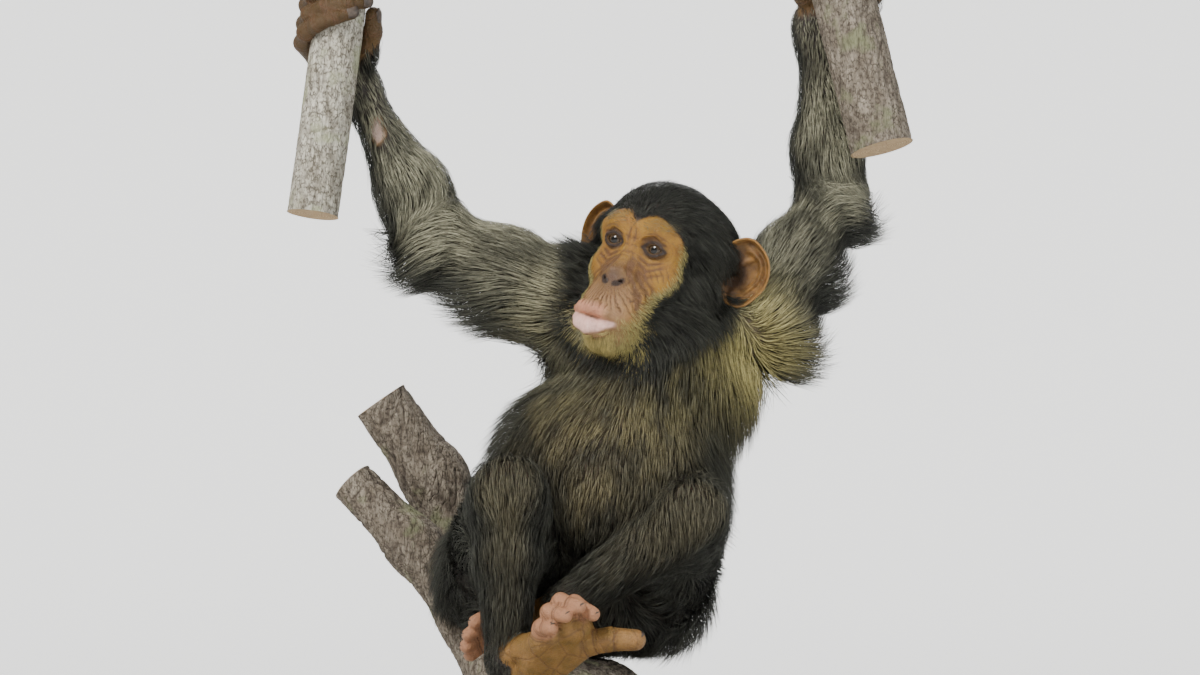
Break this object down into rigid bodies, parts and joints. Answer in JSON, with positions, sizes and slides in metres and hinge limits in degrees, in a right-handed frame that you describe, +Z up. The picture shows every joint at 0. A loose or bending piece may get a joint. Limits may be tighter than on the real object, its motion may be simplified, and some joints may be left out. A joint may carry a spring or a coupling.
{
  "type": "young chimpanzee, life-size still model",
  "caption": "Young chimpanzee sitting in a tree fork with both arms raised round cut trunks, head turned aside, on a plain display stand.",
  "frame": {"origin": "centre of the stand's underside", "axes": "+Z up, -Y to the front, where the animal's chest faces, so its right side is at -X"},
  "size_m": [0.5788, 0.3564, 0.9515],
  "materials": {
    "coat": "long black-brown hair",
    "bare_skin": "bare orange-tan skin",
    "eye": "wet dark brown",
    "brown_bark": "rough grey-brown bark, sawn ends",
    "pale_bark": "rough pale bark, sawn ends",
    "stand_board": "satin dark board",
    "stand_steel": "brushed"
  },
  "bodies": {
    "root": {"head": "coat", "neck": "coat", "torso": "coat", "upper_arm_right": "coat", "upper_arm_left": "coat", "forearm_right": "coat", "forearm_left": "coat", "thigh_right": "coat", "thigh_left": "coat", "shin_right": "coat", "shin_left": "coat", "hand_right": "bare_skin", "hand_left": "bare_skin", "foot_right": "bare_skin", "foot_left": "bare_skin", "ear_right": "bare_skin", "ear_left": "bare_skin", "eye_right": "eye", "eye_left": "eye", "perch_fork": "brown_bark", "perch_branch": "brown_bark", "perch_trunk": "pale_bark", "stand_base": "stand_board", "stand_rod_right": "stand_steel", "stand_rod_left": "stand_steel"}
  },
  "joints": []
}
